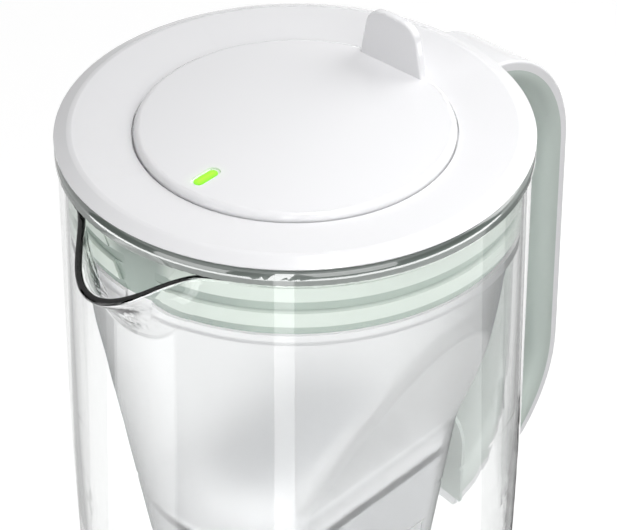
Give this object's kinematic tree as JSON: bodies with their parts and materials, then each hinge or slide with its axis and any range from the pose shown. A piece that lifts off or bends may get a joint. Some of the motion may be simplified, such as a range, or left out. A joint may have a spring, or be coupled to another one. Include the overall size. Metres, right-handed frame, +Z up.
{
  "type": "glass water filter pitcher",
  "caption": "Round glass water jug with pouring lip and strap handle, a lift-out funnel holding a filter cartridge, and a white lid with a hinged fill flap and change indicator.",
  "frame": {"origin": "centre of the flat base, on the jug's axis, at the level it stands on", "axes": "+Z up along the jug's axis, +X from the axis towards the handle, -X towards the pouring lip"},
  "size_m": [0.2049, 0.145, 0.2748],
  "materials": {
    "clear_glass": "clear polished",
    "white_gloss": "smooth satin gloss",
    "sage_plastic": "soft matte",
    "sage_seal": "smooth silicone",
    "frosted_plastic": "frosted translucent",
    "steel": "fine turned",
    "light_bar": "glowing lime",
    "diode": "clear epoxy",
    "board": "solder mask",
    "contact": "plated",
    "grey_seal": "soft",
    "mesh": "fine woven",
    "media": "granular"
  },
  "bodies": {
    "jug": {"glass_jug": "clear_glass", "handle_shell": "white_gloss", "handle_cover": "sage_plastic", "handle_upper_foot": "sage_plastic", "handle_lower_foot": "sage_plastic"},
    "hopper": {"hopper": "frosted_plastic", "seal_ring": "sage_seal"},
    "lid": {"lid_cover": "white_gloss", "lid_skirt": "white_gloss", "hinge_pin": "steel"},
    "flap": {"flap_cap": "white_gloss", "flap_liner": "white_gloss", "light_window": "light_bar", "light_diode": "diode", "circuit_board": "board", "coin_cell": "steel", "cell_clip": "contact", "pod_housing": "white_gloss", "pod_seal": "grey_seal", "pod_screws": "steel"},
    "cartridge": {"cartridge_body": "white_gloss", "cartridge_top": "white_gloss", "cartridge_seal": "grey_seal", "upper_mesh": "mesh", "lower_mesh": "mesh", "filter_media": "media"}
  },
  "joints": [
    {"name": "hopper_lift", "type": "slide", "parent": "jug", "child": "hopper", "axis": [0, 0, 1], "range_m": [0, 0.2]},
    {"name": "lid_lift", "type": "slide", "parent": "hopper", "child": "lid", "axis": [0, 0, 1], "range_m": [0, 0.06]},
    {"name": "flap_hinge", "type": "hinge", "parent": "lid", "child": "flap", "pos_m": [0.051, 0, 0.2538], "axis": [0, 1, 0], "range_deg": [0, 80]},
    {"name": "cartridge_lift", "type": "slide", "parent": "hopper", "child": "cartridge", "axis": [0, 0, 1], "range_m": [0, 0.05]}
  ]
}
